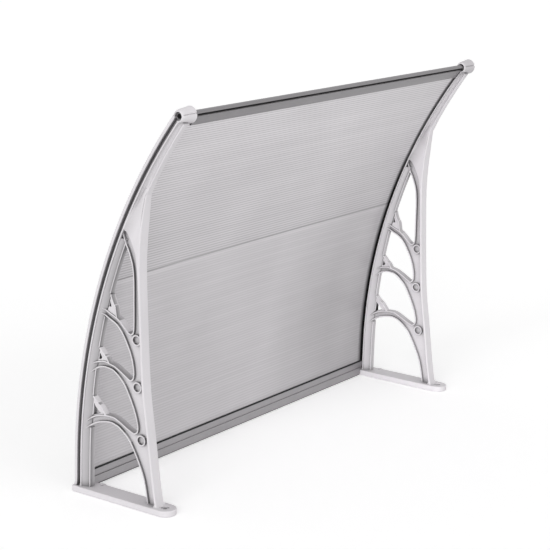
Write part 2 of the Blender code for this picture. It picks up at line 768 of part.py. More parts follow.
def main():
    clear_scene()
    awning = collection("polycarbonate_awning")
    white_plastic = material("white_plastic", (0.72, 0.72, 0.73), 0.42)
    clear_sheet = material("clear_sheet", (0.62, 0.62, 0.64), 0.35, alpha=0.85)
    aluminium = material("aluminium", (0.30, 0.30, 0.31), 0.35, metallic=0.8)
    rubber = material("rubber", (0.02, 0.02, 0.02), 0.7)

    mesh = bracket_mesh()
    for name, along in (("left_bracket", 0.0), ("right_bracket", BRACKET_PITCH)):
        bracket = bpy.data.objects.new(name, mesh)
        bracket.location.x = along
        bpy.context.scene.collection.objects.link(bracket)
        finish(bracket, awning, white_plastic)
    for leftover in [obj for obj in bpy.data.objects if obj.name not in awning.objects]:
        bpy.data.objects.remove(leftover)
    finish(roof_sheet(), awning, clear_sheet)
    finish(front_bar(), awning, aluminium)
    finish(rear_bar(), awning, aluminium)
    finish(rear_seal(), awning, rubber)
    stand_on_origin(awning.objects)


main()
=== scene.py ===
import math

import bmesh
import bpy
from mathutils import Matrix, Vector
from mathutils.geometry import tessellate_polygon


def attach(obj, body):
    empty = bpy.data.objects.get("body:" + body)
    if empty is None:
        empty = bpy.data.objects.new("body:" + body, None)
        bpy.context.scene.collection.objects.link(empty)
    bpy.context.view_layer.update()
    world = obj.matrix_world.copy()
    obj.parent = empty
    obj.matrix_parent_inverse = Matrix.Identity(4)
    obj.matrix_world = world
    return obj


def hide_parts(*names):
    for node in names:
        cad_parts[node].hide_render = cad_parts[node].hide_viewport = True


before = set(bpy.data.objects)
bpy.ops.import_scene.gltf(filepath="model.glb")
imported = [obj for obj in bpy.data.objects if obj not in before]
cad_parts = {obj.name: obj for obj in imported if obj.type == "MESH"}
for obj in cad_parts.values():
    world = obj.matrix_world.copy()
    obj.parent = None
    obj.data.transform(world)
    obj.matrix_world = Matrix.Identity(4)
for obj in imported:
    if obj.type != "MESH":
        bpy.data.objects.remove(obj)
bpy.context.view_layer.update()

# The looks of a polycarbonate awning. Sizes are in metres. Most are those of the part's source, and some
# were measured again for the looks alone. The side view is drawn in two coordinates: out, the distance from
# the back of the wall plates towards -Y, and up.

BRACKET_PITCH = 0.980
MIDDLE_X = 0.504
MIDDLE_OUT = 0.12154
FIT = 0.0003

SHEET_OUT = 0.01026
SHEET_RADIUS = 1.1032
SHEET_STRAIGHT = 0.0682
SHEET_HALF = 0.003
SHEET_SKIN = 0.0006
SHEET_RIB = 0.0005
FLUTE_PITCH = 0.0057
SHEET_FOOT = 0.0125
SHEET_SAG = 0.00016
CREASE = (
    (-0.490, 0.4118), (-0.375, 0.4128), (-0.280, 0.4146), (-0.060, 0.4158), (0.120, 0.4162), (0.490, 0.4149),
)
SHEET_STATIONS = 18
FOLD_HEIGHT = 0.00030
FOLD_BEFORE = 0.0042
FOLD_SPREAD = 0.0030
FOLD_LINE_DEPTH = 0.00028
FOLD_LINE_SPREAD = 0.0013

PLATE_THICK = 0.012
PLATE_WIDTH = 0.042
PLATE_TIP_OUT = 0.227
PLATE_CORNER = 0.005
PLATE_ROUNDING = 0.002
PLATE_BOLT_HOLE = 0.009
PLATE_BOLT_SINK = 0.015
PLATE_SINK_FLOOR = 0.0092
EAR_OUT = 0.044
EAR_RADIUS = 0.0095
EAR_SCREW_HOLE = 0.005
EAR_STAND_OUT = 0.004

BEAM_WIDTH = 0.024
BEAM_MIDDLE = BEAM_WIDTH / 2
BEAM_END_GAP = 0.0063
FOOT_FILLET = 0.003
SLOT_HALF = 0.00375
OUTER_FLANGE = 0.0065
SLOT_FLANGE = 0.003
SLOT_FLANGE_MIDDLE = SLOT_HALF + SLOT_FLANGE / 2
RIM_OUT = 0.034
RIM_RADIUS = 1.127
RIM_WIDTH = 0.016
RIB_THICK = 0.003
RIB_ROUNDING = 0.0012
WEB_THICK = 0.0035
WEB_LOW = BEAM_MIDDLE - WEB_THICK / 2
WEB_HIGH = BEAM_MIDDLE + WEB_THICK / 2
LATTICE_WEB = (0.0093, 0.0147)
RIM_ARM_FOOT = 0.540
RIM_SPANS = ((0.006, 0.128), (0.191, 0.243), (0.285, 0.345), (0.390, 0.488))
RIM_LIFT = 0.0024
FAR_EDGE_LEAST = 0.0009
RIM_FAR_EDGE = (0.0024, 0.08, 0.22)
ARM_FAR_EDGE = (0.0053, 0.575, 0.640)
BEAM_FILL_SLOT_SIDE = 0.0016
BEAM_FILL_RIM_SIDE = 0.0080
BEAM_FILL_TOP = 0.4945
RIM_END_GAP = 0.006

STRUT_FRONT = (
    (0.1955, 0.006), (0.1860, 0.056), (0.1732, 0.141), (0.1612, 0.221), (0.1549, 0.303),
    (0.1516, 0.357), (0.1482, 0.420), (0.1475, 0.465), (0.1507, 0.519), (0.1600, 0.591),
)
STRUT_FLANGE = 0.0045
STRUT_TAPER = (0.515, 0.588)

HEAD_EDGE = (
    (0.0045, 0.405), (0.0050, 0.432), (0.0085, 0.464), (0.0140, 0.480), (0.0230, 0.4965), (0.0330, 0.5090),
)
HEAD_FOOT_UP = 0.513
HEAD_TOP_UP = 0.528
HEAD_FRONT_DEPTH = 0.0009
ARM_FOOT_UP = 0.516
ARM_SLOT_RAMP = (0.511, 0.575)
ARM_FRONT_RAMP = (0.545, 0.612)
ARM_RECESS = 0.0062
ARM_FILLET = 0.0036
ARM_STATIONS = 40

BAY_FLOORS = (
    (
        (-0.095, 0.3583), (-0.030, 0.3569), (0.100, 0.3526), (0.256, 0.3477),
        (0.408, 0.3406), (0.623, 0.3245), (0.705, 0.3215),
    ),
    (
        (-0.098, 0.2516), (-0.046, 0.2547), (0.057, 0.2586), (0.164, 0.2603),
        (0.277, 0.2578), (0.376, 0.2550), (0.509, 0.2480), (0.705, 0.2355),
    ),
    (
        (-0.076, 0.1394), (-0.008, 0.1467), (0.070, 0.1526), (0.190, 0.1574),
        (0.311, 0.1588), (0.428, 0.1568), (0.649, 0.1420), (0.735, 0.1375),
    ),
)
BAY_FLOOR_STARTS = (0.3600, 0.2465, 0.1300)
BAY_SIDES = (
    (
        (0.705, 0.3215), (0.765, 0.3260), (0.783, 0.3410), (0.762, 0.3870),
        (0.719, 0.4240), (0.602, 0.4500), (0.303, 0.4720), (0.000, 0.4845),
    ),
    (
        (0.705, 0.2355), (0.765, 0.2400), (0.788, 0.2510), (0.761, 0.2710), (0.680, 0.2930),
        (0.518, 0.3180), (0.325, 0.3345), (0.104, 0.3430), (-0.022, 0.3478),
    ),
    (
        (0.735, 0.1375), (0.795, 0.1430), (0.811, 0.1570), (0.769, 0.1820), (0.686, 0.2070),
        (0.570, 0.2290), (0.375, 0.2465), (0.221, 0.2505), (0.115, 0.2499), (0.034, 0.2467),
        (-0.024, 0.2426),
    ),
    (
        (0.860, 0.0090), (0.851, 0.0470), (0.811, 0.0740), (0.720, 0.1060), (0.632, 0.1260),
        (0.503, 0.1410), (0.418, 0.1460), (0.314, 0.1480), (0.122, 0.1425), (-0.024, 0.1310),
    ),
)
BAY_SIDE_ENDS = (0.5050, 0.3512, 0.2295, 0.1185)
GUSSET_EDGES = (
    ((0.000, 0.3885), (0.027, 0.3832), (0.092, 0.3763), (0.153, 0.3704), (0.216, 0.3646), (0.300, 0.3463)),
    ((0.000, 0.2838), (0.059, 0.2781), (0.121, 0.2726), (0.176, 0.2685), (0.245, 0.2587)),
    ((0.000, 0.1895), (0.030, 0.1853), (0.086, 0.1790), (0.158, 0.1721), (0.245, 0.1583)),
)
GUSSET_WIDTH = 0.012
GUSSET_COVER = 0.0005
SMALL_WINDOWS = (
    ((0.020, 0.3750), (0.020, 0.3650), (0.083, 0.3650)),
    ((0.020, 0.2740), (0.020, 0.2625), (0.063, 0.2635), (0.075, 0.2670)),
    ((0.020, 0.1760), (0.020, 0.1535), (0.150, 0.1600), (0.059, 0.1692)),
)
RING_SHARE = 0.846
RING_UPS = (0.3135, 0.2262, 0.1285)
RING_RADIUS = 0.0105
RING_BORE = 0.0075

COLLAR_ALONG = 0.7729
COLLAR_ANGLE = (COLLAR_ALONG - SHEET_STRAIGHT) / SHEET_RADIUS
COLLAR_BORE = 0.0073
COLLAR_START = -0.0008
COLLAR_END = 0.0345
COLLAR_SEAM = math.radians(14)
COLLAR_SEAM_SPREAD = math.radians(5)
COLLAR_SEAM_DEPTH = 0.0018
COLLAR_SEAM_FROM_RADIUS = 0.0112

BEAD_CLEARANCE = 0.0012
BEAD_WALL = 0.0016
BEAD_SLOT_FROM = math.radians(53)
BEAD_SLOT_TO = math.radians(104)
BEAD_RADIUS = COLLAR_BORE - BEAD_CLEARANCE
LIP_THICK = 0.0015
LIP_LENGTH = 0.023
LIP_FOOT = 0.0015
LIP_ROOT = 0.0016
LIP_START = 0.0466
LIP_END_GAP = 0.0074
BEAD_INSET = 0.003
BEAD_END = 0.028

REAR_BAR_END_GAP = 0.004
REAR_NOTCH_GAP = 0.001
REAR_BAR_TOP = 0.0322
REAR_WALL = 0.0015
REAR_GROOVE_UP = 0.0198
REAR_GROOVE_WIDTH = 0.0028
REAR_GROOVE_DEPTH = 0.0012
REAR_CHAMFER_OUT = 0.0025
REAR_CHAMFER_UP = 0.005
SEAL_TONGUE = 0.0007
SEAL_DEPTH = 0.008
SEAL_HEAD = 0.0026

SPAN_POINTS = 6
CURVE_STEP = 0.010
CORNER_STEPS = 4

# Painted shade on the brackets: on the ground beside the slot, on the lattice's ledges, and on the top of
# the wall plate.
GROUND_SHADE = 0.40
GROUND_SHADE_RISE = 0.28
LEDGE_SHADE_FALL = 0.55
PLATE_TOP_SHADE = 0.14


def sheet_point(along, offset=0.0):
    """(out, up) at a length along the sheet's middle line, moved by offset towards its hollow side."""
    if along <= SHEET_STRAIGHT:
        return (SHEET_OUT + offset, along)
    angle = (along - SHEET_STRAIGHT) / SHEET_RADIUS
    radius = SHEET_RADIUS - offset
    out = SHEET_OUT + SHEET_RADIUS - radius * math.cos(angle)
    return (out, SHEET_STRAIGHT + radius * math.sin(angle))


def spread(start, end, step):
    count = max(1, round((end - start) / step))
    return [start + (end - start) * index / count for index in range(count + 1)]


def along_of_up(up, offset):
    """Length along the sheet at which the line at this offset reaches a height."""
    if up <= SHEET_STRAIGHT:
        return up
    return SHEET_STRAIGHT + SHEET_RADIUS * math.asin((up - SHEET_STRAIGHT) / (SHEET_RADIUS - offset))


def rim_out(up):
    """How far out the middle of the beam's inner rim is at a height."""
    rise = max(0.0, up - SHEET_STRAIGHT)
    return RIM_OUT + RIM_RADIUS - math.sqrt(RIM_RADIUS**2 - rise**2)


def smooth(knots):
    """Points along a Catmull-Rom curve through the knots."""
    ends = (knots[0], *knots, knots[-1])
    points = []
    for index in range(len(knots) - 1):
        a, b, c, d = ends[index : index + 4]
        for step in range(SPAN_POINTS):
            t = step / SPAN_POINTS
            points.append(
                tuple(
                    b[k] + t * (c[k] - a[k]) / 2
                    + t * t * (2 * a[k] - 5 * b[k] + 4 * c[k] - d[k]) / 2
                    + t**3 * (3 * b[k] - a[k] - 3 * c[k] + d[k]) / 2
                    for k in (0, 1)
                )
            )
    return [*points, tuple(knots[-1])]


STRUT_LINE = smooth(STRUT_FRONT)


def strut_out(up):
    """How far out the strut's front face is at a height."""
    for low, high in zip(STRUT_LINE, STRUT_LINE[1:]):
        if up <= high[1]:
            return low[0] + (high[0] - low[0]) * (up - low[1]) / (high[1] - low[1])
    return STRUT_LINE[-1][0]


def lattice_point(share, up):
    rim = rim_out(up)
    return (rim + share * (strut_out(up) - rim), up)


def lattice_line(knots):
    return [lattice_point(share, up) for share, up in smooth(knots)]


def rim_line(low, high):
    return [(rim_out(up), up) for up in spread(low, high, CURVE_STEP)]


def low_rim_line(low, high):
    """The rim below the head, which leans a little to the slot as it rises."""
    return [(out - RIM_LIFT * soft_step(up, 0.10, 0.42), up) for out, up in rim_line(low, high)]


def circle(centre, radius, count=48):
    turns = [2 * math.pi * step / count for step in range(count)]
    return [(centre[0] + radius * math.cos(a), centre[1] + radius * math.sin(a)) for a in turns]


def arc(centre, radius, start, end, steps):
    turns = [start + (end - start) * step / steps for step in range(steps + 1)]
    return [(centre[0] + radius * math.cos(a), centre[1] + radius * math.sin(a)) for a in turns]


def side_step(points, index, closed):
    """Unit normal of a line at one of its points, lengthened at a corner so that a band keeps its width."""
    before = points[index - 1] if closed or index > 0 else points[index]
    has_after = closed or index < len(points) - 1
    after = points[(index + 1) % len(points)] if has_after else points[index]
    here = points[index]
    normals = []
    for start, end in ((before, here), (here, after)):
        length = math.dist(start, end)
        if length > 0:
            normals.append(((start[1] - end[1]) / length, (end[0] - start[0]) / length))
    x = sum(n[0] for n in normals)
    y = sum(n[1] for n in normals)
    length = math.hypot(x, y)
    stretch = min(1.6, 1 / (length / len(normals)))
    return (x / length * stretch, y / length * stretch)


def shifted(points, distance, closed=False):
    steps = [side_step(points, index, closed) for index in range(len(points))]
    return [(p[0] + distance * s[0], p[1] + distance * s[1]) for p, s in zip(points, steps)]


def signed_area(loop):
    return sum(a[0] * b[1] - b[0] * a[1] for a, b in zip(loop, loop[1:] + loop[:1])) / 2


def side_view(x, point):
    """Place of a point of the side view at a distance along X."""
    return (x - MIDDLE_X, MIDDLE_OUT - point[0], point[1])


def plan_view(up, point):
    """Place of a point (along X, out) at a height."""
    return (point[0] - MIDDLE_X, MIDDLE_OUT - point[1], up)


class Shells:
    """Closed shells that become one piece."""

    def __init__(self):
        self.points = []
        self.faces = []

    def add(self, points, faces):
        first = len(self.points)
        self.points += points
        self.faces += [[first + index for index in face] for face in faces]

    def loft(self, rings, capped=True):
        """Skin over rings of points, closed by a face at each end, or joined from the last to the first."""
        size = len(rings[0])
        points = [point for ring in rings for point in ring]
        faces = []
        for row in range(len(rings) - 1 if capped else len(rings)):
            here = row * size
            there = (row + 1) % len(rings) * size
            for index in range(size):
                after = (index + 1) % size
                faces.append((here + index, here + after, there + after, there + index))
        if capped:
            faces.append(tuple(range(size)))
            faces.append(tuple(range((len(rings) - 1) * size, len(rings) * size)))
        self.add(points, faces)

    def sweep(self, line, thick, x_low, x_high, radius, narrowing=None, growth=None, far=None):
        """Strip of this thickness along a line of the side view, with rounded edges."""
        rings = []
        for index, point in enumerate(line):
            step = side_step(line, index, False)
            inset = narrowing(point[1]) if narrowing else 0.0
            extra = growth(point[1]) if growth else 0.0
            reach = far_edge(point[1], *far) if far else x_high
            middle = (x_low + reach) / 2
            half_wide = (reach - x_low) / 2 - inset + extra
            half_thick = thick / 2 + extra
            ring = []
            for across, through in corner_points(half_wide, half_thick, radius):
                at = (max(0.0, point[0] + through * step[0]), point[1] + through * step[1])
                ring.append(side_view(middle + across, at))
            rings.append(ring)
        self.loft(rings)

    def prism(self, loops, low, high, radius, view=side_view, stations=1):
        """Plate with rounded rims. The first loop is its outline and the others are holes through it."""
        layers = [(low + (high - low) * index / stations, 0.0) for index in range(stations + 1)]
        if radius:
            turns = [math.pi / 2 * step / CORNER_STEPS for step in range(CORNER_STEPS + 1)]
            rise = [(radius * (1 - math.cos(a)), radius * (1 - math.sin(a))) for a in turns]
            layers = [(low + w, inset) for w, inset in rise]
            layers += [(high - w, inset) for w, inset in reversed(rise)]
        points = []
        faces = []
        starts = []
        rims = []
        for number, loop in enumerate(loops):
            if (signed_area(loop) > 0) != (number == 0):
                loop = loop[::-1]
            size = len(loop)
            first = len(points)
            starts.append((first, size))
            for w, inset in layers:
                points += [view(w, point) for point in shifted(loop, inset, True)]
            for row in range(len(layers) - 1):
                here = first + row * size
                for index in range(size):
                    after = (index + 1) % size
                    faces.append((here + index, here + after, here + size + after, here + size + index))
            rims.append([Vector((*point, 0)) for point in shifted(loop, layers[0][1], True)])
        cap = [(first, index) for first, size in starts for index in range(size)]
        sizes = [size for first, size in starts for index in range(size)]
        for triangle in tessellate_polygon(rims):
            faces.append([cap[index][0] + cap[index][1] for index in triangle])
            top = [cap[index][0] + (len(layers) - 1) * sizes[index] + cap[index][1] for index in triangle]
            faces.append(top[::-1])
        self.add(points, faces)

    def object(self, name):
        mesh = bpy.data.meshes.new(name)
        mesh.from_pydata(self.points, [], self.faces)
        work = bmesh.new()
        work.from_mesh(mesh)
        bmesh.ops.recalc_face_normals(work, faces=work.faces)
        work.to_mesh(mesh)
        work.free()
        return linked(name, mesh)


def linked(name, mesh):
    made = bpy.data.objects.new(name, mesh)
    bpy.context.scene.collection.objects.link(made)
    return made


def solid(kind, *details, **options):
    """One closed shell, made by the method of this name, as an object."""
    shells = Shells()
    getattr(shells, kind)(*details, **options)
    return shells.object(kind)


def combined(base, tools, operation):
    """The base joined with the tools or cut by them, as one new object."""
    for tool in tools:
        modifier = base.modifiers.new("step", "BOOLEAN")
        modifier.operation = operation
        modifier.solver = "MANIFOLD"
        modifier.object = tool
    bpy.context.view_layer.update()
    graph = bpy.context.evaluated_depsgraph_get()
    mesh = bpy.data.meshes.new_from_object(base.evaluated_get(graph))
    name = base.name
    for used in (base, *tools):
        bpy.data.objects.remove(used)
    return linked(name, mesh)


def corner_points(half_wide, half_thick, radius):
    """Rounded rectangle around its middle."""
    radius = min(radius, half_wide * 0.98, half_thick * 0.98)
    points = []
    for side_x, side_y, start in ((1, 1, 0), (-1, 1, 1), (-1, -1, 2), (1, -1, 3)):
        for step in range(CORNER_STEPS + 1):
            a = math.pi / 2 * (start + step / CORNER_STEPS)
            across = side_x * (half_wide - radius) + radius * math.cos(a)
            points.append((across, side_y * (half_thick - radius) + radius * math.sin(a)))
    return points


def soft_step(value, low, high):
    t = min(1.0, max(0.0, (value - low) / (high - low)))
    return t * t * (3 - 2 * t)


def foot_fillet(up):
    """How much a flange widens where it rises from the wall plate."""
    rise = max(0.0, up - PLATE_THICK)
    if rise >= FOOT_FILLET:
        return 0.0
    return FOOT_FILLET - math.sqrt(FOOT_FILLET**2 - (FOOT_FILLET - rise) ** 2)


def strut_narrowing(up):
    return (BEAM_WIDTH - RIM_WIDTH) / 2 * soft_step(up, *STRUT_TAPER)


def far_edge(up, extra, low, high):
    """Place along X of the far edge of a rim that gets narrower by extra between two heights."""
    return WEB_HIGH + FAR_EDGE_LEAST + extra * (1 - soft_step(up, low, high))


def bay_floor_from(floor, edge):
    """The part of a bay's floor that lies beyond its gusset."""
    return [edge[-1]] + [knot for knot in floor if knot[0] > edge[-1][0]]


def gusset_loop(floor, edge):
    """Outline of the gusset that fills the corner between a bay's floor and the beam's rim."""
    low = [knot for knot in floor if 0.0 < knot[0] < edge[-1][0]]
    floor_side = [lattice_point(*knot) for knot in reversed(low)] + [lattice_point(0.0, low[0][1])]
    return shifted(lattice_line(edge), GUSSET_COVER) + floor_side


def opening_loops():
    """Middle lines of the ribs around the bracket's four large openings, from the top one down."""
    loops = []
    for index, side in enumerate(BAY_SIDES):
        across = [point for point in lattice_line(side) if point[0] > rim_out(point[1])]
        top = across[-1][1]
        if index < len(BAY_FLOORS):
            edge = GUSSET_EDGES[index]
            low = lattice_line(edge)[:-1] + lattice_line(bay_floor_from(BAY_FLOORS[index], edge))[:-1]
            loops.append(low_rim_line(edge[0][1], top)[::-1][:-1] + low + across)
        else:
            loops.append(low_rim_line(side[0][1], top)[::-1] + across)
    return loops


def slot_flange_point(up):
    return sheet_point(along_of_up(up, SLOT_FLANGE_MIDDLE), SLOT_FLANGE_MIDDLE)


def lattice_ribs():
    """Middle lines of the lattice's ribs: one around each bay, from the slot's flange and back to it."""
    lines = []
    for index, side in enumerate(BAY_SIDES):
        line = lattice_line(side) + [slot_flange_point(BAY_SIDE_ENDS[index])]
        if index < len(BAY_FLOORS):
            start = slot_flange_point(BAY_FLOOR_STARTS[index])
            line = [start] + lattice_line(BAY_FLOORS[index])[:-1] + line
        lines.append(line)
    return lines


def rim_top_up():
    """Height at which the beam's rim stops, just under the collar."""
    out, up = sheet_point(COLLAR_ALONG)
    offset = (rim_out(up) - out) * math.cos(COLLAR_ANGLE)
    return sheet_point(COLLAR_ALONG - RIM_END_GAP, offset)[1]


def beam_line(offset, low=PLATE_THICK / 2):
    return [sheet_point(along, offset) for along in spread(low, COLLAR_ALONG - BEAM_END_GAP, CURVE_STEP)]


def beam_fill_rings():
    """Sections of the ground between the slot's flange and the beam's rim, which deepens to the rim."""
    beyond = WEB_HIGH + 0.0005
    rings = []
    for rim in low_rim_line(PLATE_THICK / 2, BEAM_FILL_TOP):
        slot_side = slot_flange_point(rim[1])
        near = [side_view(BEAM_FILL_SLOT_SIDE, slot_side), side_view(BEAM_FILL_RIM_SIDE, rim)]
        rings.append(near + [side_view(beyond, rim), side_view(beyond, slot_side)])
    return rings


def web_loops():
    """Outline of the bracket's thin middle wall and the openings in it."""
    back = beam_line(-SLOT_HALF - OUTER_FLANGE / 2)
    rim = rim_line(STRUT_FRONT[-1][1], rim_top_up())[::-1]
    front = shifted(STRUT_LINE, STRUT_FLANGE / 2)[::-1]
    windows = [[lattice_point(share, up) for share, up in corners] for corners in SMALL_WINDOWS]
    return [back + rim + front, *opening_loops(), *windows]


def head_loop():
    """Outline of the solid head, where the strut meets the beam over the top opening."""
    inner = [(strut_out(up) - depth, up) for depth, up in smooth(HEAD_EDGE)]
    slot_side = SLOT_HALF + 0.0003
    foot = along_of_up(HEAD_FOOT_UP, slot_side)
    top = along_of_up(HEAD_TOP_UP, slot_side)
    beam_side = [sheet_point(along, slot_side) for along in spread(foot, top, CURVE_STEP)]
    low = HEAD_EDGE[0][1]
    front = [(out - HEAD_FRONT_DEPTH, up) for out, up in STRUT_LINE if low < up < HEAD_TOP_UP]
    return inner + beam_side + front[::-1] + [(strut_out(low) - HEAD_FRONT_DEPTH, low)]


def arm_front_out(up):
    """Middle of what closes the arm at its front: the strut's flange, and the beam's rim above it."""
    if up >= STRUT_LINE[-1][1]:
        return rim_out(up)
    return max(strut_out(up) - STRUT_FLANGE / 2, rim_out(up))


def arm_rings():
    """Sections of the thick wall over the head: flush with the head at its foot, and sunk above it."""
    foot = along_of_up(ARM_FOOT_UP, SLOT_FLANGE_MIDDLE)
    reach = COLLAR_ALONG - BEAM_END_GAP - foot
    rise = rim_top_up() - ARM_FOOT_UP
    rings = []
    for index in range(ARM_STATIONS + 1):
        share = index / ARM_STATIONS
        back = sheet_point(foot + reach * share, SLOT_FLANGE_MIDDLE)
        up = ARM_FOOT_UP + rise * share
        front = (arm_front_out(up), up)
        width = math.dist(back, front)
        slot_half = BEAM_MIDDLE - ARM_RECESS * soft_step(up, *ARM_SLOT_RAMP)
        half = BEAM_MIDDLE - ARM_RECESS * soft_step(up, *ARM_FRONT_RAMP)
        front_half = BEAM_MIDDLE - strut_narrowing(up)
        near = []
        for part in (0.0, 0.15, 0.35, 0.6, 1.0):
            fall = (1 - part) ** 2
            near.append((part * ARM_FILLET + 0.0008, slot_half + (BEAM_MIDDLE - slot_half) * fall))
        for part in (1.0, 0.6, 0.35, 0.15, 0.0):
            fall = (1 - part) ** 2
            near.append((width - part * ARM_FILLET, half + max(0.0, front_half - half) * fall))
        ring = []
        for sign, side in ((-1, near), (1, near[::-1])):
            for distance, thick in side:
                t = distance / width
                at = tuple(back[k] + (front[k] - back[k]) * t for k in (0, 1))
                ring.append(side_view(BEAM_MIDDLE + sign * thick, at))
        rings.append(ring)
    return rings


def plate_loops():
    """Outline of the wall plate with its screw ear, then its bolt hole and its screw hole."""
    half = PLATE_WIDTH / 2
    tip = (BEAM_MIDDLE, PLATE_TIP_OUT - half)
    right = BEAM_MIDDLE + half
    left = BEAM_MIDDLE - half
    ear = (right - EAR_RADIUS + EAR_STAND_OUT, EAR_OUT)
    reach = math.acos((right - ear[0]) / EAR_RADIUS)
    quarter = math.pi / 2
    outline = arc(tip, half, math.pi, 0.0, 24) + arc(ear, EAR_RADIUS, reach, -reach, 12)
    outline += arc((right - PLATE_CORNER, PLATE_CORNER), PLATE_CORNER, 0.0, -quarter, 6)
    outline += arc((left + PLATE_CORNER, PLATE_CORNER), PLATE_CORNER, -quarter, -math.pi, 6)
    return [outline, circle(tip, PLATE_BOLT_SINK / 2), circle(ear, EAR_SCREW_HOLE / 2)]


def collar_rings():
    """Sections of the collar at the bracket's tip: a cone with a lip, a bore, and a seam down two sides."""
    start = COLLAR_START
    end = COLLAR_END
    profile = [
        (start + 0.0016, COLLAR_BORE), (start + 0.0005, COLLAR_BORE + 0.0005),
        (start, COLLAR_BORE + 0.0011), (start, 0.0092), (start + 0.0003, 0.0097),
        (start + 0.0010, 0.0102), (start + 0.0022, 0.0109), (start + 0.0042, 0.0116),
        (start + 0.0075, 0.0122), (0.0150, 0.0132), (end - 0.0034, 0.0146),
        (end - 0.0027, 0.0148), (end - 0.0022, 0.0151), (end - 0.0012, 0.01525),
        (end - 0.0004, 0.0150), (end, 0.0146), (end, COLLAR_BORE + 0.0008),
        (end - 0.0003, COLLAR_BORE + 0.0002), (end - 0.0009, COLLAR_BORE),
    ]
    centre = sheet_point(COLLAR_ALONG)
    count = 120
    rings = []
    for step in range(count):
        a = 2 * math.pi * step / count
        turn = min(abs(math.remainder(a - COLLAR_SEAM, math.pi)), math.pi)
        dent = COLLAR_SEAM_DEPTH * math.exp(-((turn / COLLAR_SEAM_SPREAD) ** 2))
        ring = []
        for x, radius in profile:
            if radius > COLLAR_SEAM_FROM_RADIUS:
                radius -= dent
            ring.append(side_view(x, (centre[0] + radius * math.cos(a), centre[1] + radius * math.sin(a))))
        rings.append(ring)
    return rings


def bracket(name):
    """The bracket as one solid: every flange, rib and ring joined, then the slots, bore and windows cut."""
    rim_low = BEAM_MIDDLE - RIM_WIDTH / 2
    rim_high = BEAM_MIDDLE + RIM_WIDTH / 2

    def rib(line, far=None):
        return solid("sweep", line, RIB_THICK, rim_low, rim_high, RIB_ROUNDING, far=far)

    body = solid("prism", plate_loops(), 0.0, PLATE_THICK, PLATE_ROUNDING, plan_view)
    body.name = name
    outer = beam_line(-SLOT_HALF - OUTER_FLANGE / 2)
    inner = beam_line(SLOT_FLANGE_MIDDLE)
    strut = shifted(STRUT_LINE, STRUT_FLANGE / 2)
    bolt = (BEAM_MIDDLE, PLATE_TIP_OUT - PLATE_WIDTH / 2)
    sink = [circle(bolt, PLATE_BOLT_SINK / 2 + 0.0004), circle(bolt, PLATE_BOLT_HOLE / 2)]
    pieces = [
        solid("prism", sink, 0.0004, PLATE_SINK_FLOOR, 0.0003, plan_view),
        solid("prism", web_loops(), *LATTICE_WEB, 0.0),
        solid("loft", beam_fill_rings()),
        solid("sweep", outer, OUTER_FLANGE, 0.0, BEAM_WIDTH, 0.0018, growth=foot_fillet),
        solid("sweep", inner, SLOT_FLANGE, 0.0, BEAM_WIDTH, 0.0011, growth=foot_fillet),
        solid(
            "sweep", strut, STRUT_FLANGE, 0.0, BEAM_WIDTH, 0.0022,
            narrowing=strut_narrowing, growth=foot_fillet,
        ),
        solid("prism", [head_loop()], 0.0, BEAM_WIDTH, 0.0016),
        solid("loft", arm_rings()),
        solid("loft", collar_rings(), capped=False),
    ]
    for low, high in RIM_SPANS:
        pieces.append(rib(low_rim_line(low, high), RIM_FAR_EDGE))
    pieces.append(rib(rim_line(RIM_ARM_FOOT, rim_top_up()), ARM_FAR_EDGE))
    pieces += [rib(line) for line in lattice_ribs()]
    gusset_low = BEAM_MIDDLE - GUSSET_WIDTH / 2
    gusset_high = BEAM_MIDDLE + GUSSET_WIDTH / 2
    for floor, edge, corners in zip(BAY_FLOORS, GUSSET_EDGES, SMALL_WINDOWS):
        window = [lattice_point(share, up) for share, up in corners]
        pieces.append(solid("prism", [gusset_loop(floor, edge), window], gusset_low, gusset_high, 0.0008))
        crest = lattice_line(edge) + [lattice_point(*knot) for knot in bay_floor_from(floor, edge)[1:2]]
        pieces.append(rib(crest, RIM_FAR_EDGE))
    for up in RING_UPS:
        centre = lattice_point(RING_SHARE, up)
        ring = [circle(centre, RING_RADIUS), circle(centre, RING_BORE)]
        pieces.append(solid("prism", ring, rim_low, rim_high, 0.0009))
    body = combined(body, pieces, "UNION")

    ends = spread(PLATE_THICK - PLATE_ROUNDING, COLLAR_ALONG, CURVE_STEP)
    slot = [sheet_point(along, -SLOT_HALF) for along in ends]
    slot += [sheet_point(along, SLOT_HALF) for along in reversed(ends)]
    bore = circle(sheet_point(COLLAR_ALONG), COLLAR_BORE, 96)
    before = 4 * COLLAR_START
    beyond = 2 * COLLAR_END
    cutters = [
        solid("prism", [bore], before, beyond, 0.0),
        solid("prism", [slot], before, WEB_LOW, 0.0),
        solid("prism", [slot], WEB_HIGH, beyond, 0.0),
    ]
    return combined(body, cutters, "DIFFERENCE")


